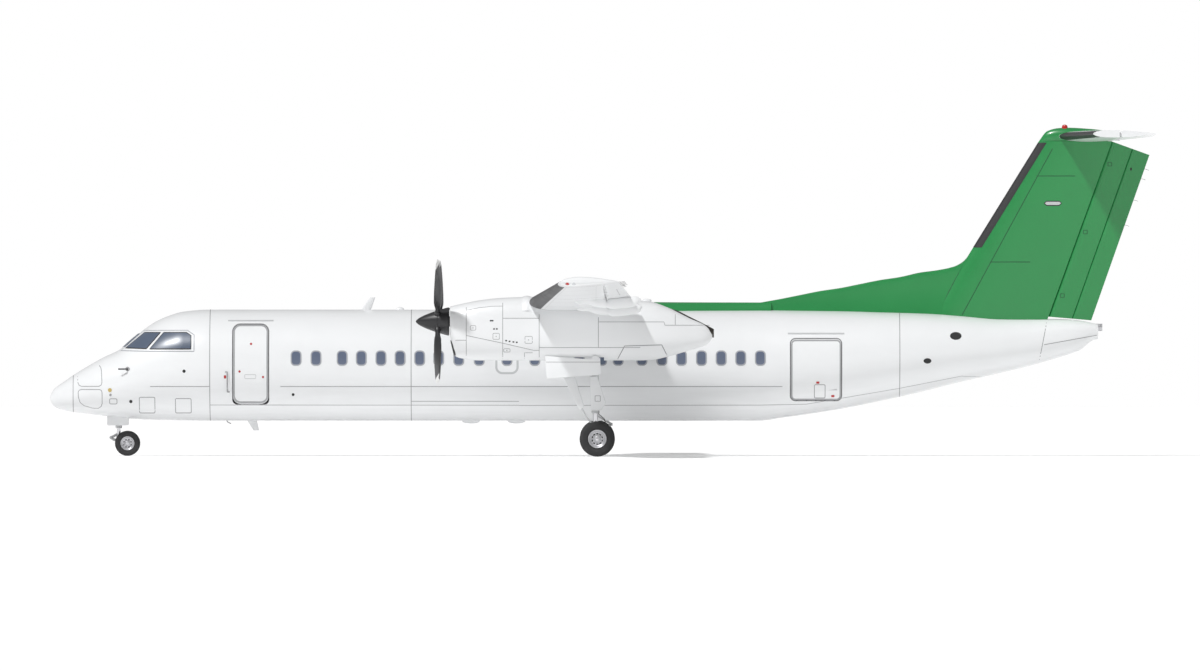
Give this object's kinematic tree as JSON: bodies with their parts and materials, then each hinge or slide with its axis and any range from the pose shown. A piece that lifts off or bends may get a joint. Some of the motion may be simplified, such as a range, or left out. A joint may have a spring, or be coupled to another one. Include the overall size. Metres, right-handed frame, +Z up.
{
  "type": "turboprop airliner",
  "caption": "High-wing turboprop airliner with a T-tail, parked on its landing gear, with turning propellers and wheels, steering, doors and control surfaces.",
  "frame": {"origin": "on the ground, under the middle of the overall length and span", "axes": "+X towards the tail, +Y to starboard, +Z up"},
  "size_m": [25.68, 27.43, 7.712],
  "materials": {
    "white_paint": "gloss white aircraft enamel",
    "green_paint": "gloss mid green aircraft enamel",
    "windscreen_glass": "tinted, heated windscreen glass over a dark flight deck",
    "heat_blackened_metal": "heat-blackened metal",
    "engine_metal": "plain",
    "propeller_black": "satin black",
    "gear_metal": "light grey enamel on steel",
    "wheel_metal": "satin cast alloy",
    "tyre_rubber": "matt rubber"
  },
  "bodies": {
    "airframe": {"radome": "white_paint", "cockpit_section": "white_paint", "forward_fuselage": "white_paint", "centre_fuselage": "white_paint", "aft_fuselage": "white_paint", "tail_cone": "white_paint", "wing_centre": "white_paint", "wing_left": "white_paint", "wing_right": "white_paint", "tailplane": "white_paint", "cowl_left": "white_paint", "cowl_right": "white_paint", "nacelle_left": "white_paint", "nacelle_right": "white_paint", "drag_strut_left": "white_paint", "drag_strut_right": "white_paint", "gear_door_port_left": "white_paint", "gear_door_starboard_left": "white_paint", "gear_door_port_right": "white_paint", "gear_door_starboard_right": "white_paint", "nose_door_left": "white_paint", "nose_door_right": "white_paint", "dorsal_fin": "green_paint", "fin": "green_paint", "windscreen_left": "windscreen_glass", "windscreen_right": "windscreen_glass", "exhaust_left": "heat_blackened_metal", "exhaust_right": "heat_blackened_metal", "engine_left": "engine_metal", "engine_right": "engine_metal", "main_leg_left": "gear_metal", "main_leg_right": "gear_metal", "nose_leg": "gear_metal"},
    "left_propeller": {"propeller_left": "propeller_black", "spinner_left": "propeller_black"},
    "right_propeller": {"propeller_right": "propeller_black", "spinner_right": "propeller_black"},
    "left_main_wheels": {"main_wheels_left": "wheel_metal", "main_tyre_port_left": "tyre_rubber", "main_tyre_starboard_left": "tyre_rubber"},
    "right_main_wheels": {"main_wheels_right": "wheel_metal", "main_tyre_port_right": "tyre_rubber", "main_tyre_starboard_right": "tyre_rubber"},
    "nose_steering": {"nose_fork": "gear_metal"},
    "nose_wheel_pair": {"nose_wheels": "wheel_metal", "nose_tyre_left": "tyre_rubber", "nose_tyre_right": "tyre_rubber"},
    "entry_door": {"passenger_door": "white_paint"},
    "hold_door": {"baggage_door": "white_paint"},
    "fore_rudder": {"rudder": "green_paint"},
    "aft_rudder": {"trailing_rudder": "green_paint"},
    "left_elevator": {"elevator_left": "white_paint"},
    "right_elevator": {"elevator_right": "white_paint"},
    "left_aileron": {"aileron_left": "white_paint"},
    "right_aileron": {"aileron_right": "white_paint"},
    "left_inboard_flap": {"flap_inboard_left": "white_paint"},
    "left_outboard_flap": {"flap_outboard_left": "white_paint"},
    "right_inboard_flap": {"flap_inboard_right": "white_paint"},
    "right_outboard_flap": {"flap_outboard_right": "white_paint"}
  },
  "joints": [
    {"name": "left_propeller_spin", "type": "hinge", "parent": "airframe", "child": "left_propeller", "pos_m": [-3.79, -3.94, 3.125], "axis": [1, 0, 0], "continuous": true},
    {"name": "right_propeller_spin", "type": "hinge", "parent": "airframe", "child": "right_propeller", "pos_m": [-3.79, 3.94, 3.125], "axis": [1, 0, 0], "continuous": true},
    {"name": "left_wheels_roll", "type": "hinge", "parent": "airframe", "child": "left_main_wheels", "pos_m": [-0.098, -3.94, 0.409], "axis": [0, 1, 0], "continuous": true},
    {"name": "right_wheels_roll", "type": "hinge", "parent": "airframe", "child": "right_main_wheels", "pos_m": [-0.098, 3.94, 0.409], "axis": [0, 1, 0], "continuous": true},
    {"name": "nose_steer", "type": "hinge", "parent": "airframe", "child": "nose_steering", "pos_m": [-11.24, 0, 0.6], "axis": [0, 0, 1], "range_deg": [-60, 60]},
    {"name": "nose_wheels_roll", "type": "hinge", "parent": "nose_steering", "child": "nose_wheel_pair", "pos_m": [-11.033, 0, 0.292], "axis": [0, 1, 0], "continuous": true},
    {"name": "entry_door_hinge", "type": "hinge", "parent": "airframe", "child": "entry_door", "pos_m": [-8.153, -0.95665, 1.2133], "axis": [1, 0, 0], "range_deg": [0, 120]},
    {"name": "hold_door_hinge", "type": "hinge", "parent": "airframe", "child": "hold_door", "pos_m": [4.53, -1.17484, 2.7217], "axis": [-1, -0.0057, 0], "range_deg": [0, 95]},
    {"name": "rudder_hinge", "type": "hinge", "parent": "airframe", "child": "fore_rudder", "pos_m": [10.4877, 0, 3.232], "axis": [0.34, 0, 0.9404], "range_deg": [-18, 18]},
    {"name": "trailing_rudder_hinge", "type": "hinge", "parent": "fore_rudder", "child": "aft_rudder", "pos_m": [11.0119, 0, 3.232], "axis": [0.3351, 0, 0.9422], "range_deg": [-18, 18]},
    {"name": "left_elevator_hinge", "type": "hinge", "parent": "airframe", "child": "left_elevator", "pos_m": [12.08, -0.19, 7.4375], "axis": [0, 1, -0.0081], "range_deg": [-20, 20]},
    {"name": "right_elevator_hinge", "type": "hinge", "parent": "airframe", "child": "right_elevator", "pos_m": [12.08, 0.19, 7.4375], "axis": [0, 1, 0.0081], "range_deg": [-20, 20]},
    {"name": "left_aileron_hinge", "type": "hinge", "parent": "airframe", "child": "left_aileron", "pos_m": [0.1771, -8.64, 3.7807], "axis": [0.0187, 0.9985, -0.0519], "range_deg": [-17, 17]},
    {"name": "right_aileron_hinge", "type": "hinge", "parent": "airframe", "child": "right_aileron", "pos_m": [0.1771, 8.64, 3.7807], "axis": [-0.0187, 0.9985, 0.0519], "range_deg": [-17, 17]},
    {"name": "left_inboard_flap_hinge", "type": "hinge", "parent": "airframe", "child": "left_inboard_flap", "pos_m": [0.1912, -1.45, 3.276], "axis": [0, 1, 0], "range_deg": [0, 35]},
    {"name": "left_outboard_flap_hinge", "type": "hinge", "parent": "airframe", "child": "left_outboard_flap", "pos_m": [0.1906, -4.59, 3.2789], "axis": [0.0154, 0.9974, -0.0697], "range_deg": [0, 35]},
    {"name": "right_inboard_flap_hinge", "type": "hinge", "parent": "airframe", "child": "right_inboard_flap", "pos_m": [0.1912, 1.45, 3.276], "axis": [0, 1, 0], "range_deg": [0, 35]},
    {"name": "right_outboard_flap_hinge", "type": "hinge", "parent": "airframe", "child": "right_outboard_flap", "pos_m": [0.1906, 4.59, 3.2789], "axis": [-0.0154, 0.9974, 0.0697], "range_deg": [0, 35]}
  ],
  "couplings": [
    {"joint": "trailing_rudder_hinge", "follows": "rudder_hinge", "ratio": 1},
    {"joint": "right_elevator_hinge", "follows": "left_elevator_hinge", "ratio": 1},
    {"joint": "right_aileron_hinge", "follows": "left_aileron_hinge", "ratio": -1},
    {"joint": "left_inboard_flap_hinge", "follows": "left_outboard_flap_hinge", "ratio": 1},
    {"joint": "right_inboard_flap_hinge", "follows": "left_outboard_flap_hinge", "ratio": 1},
    {"joint": "right_outboard_flap_hinge", "follows": "left_outboard_flap_hinge", "ratio": 1}
  ]
}
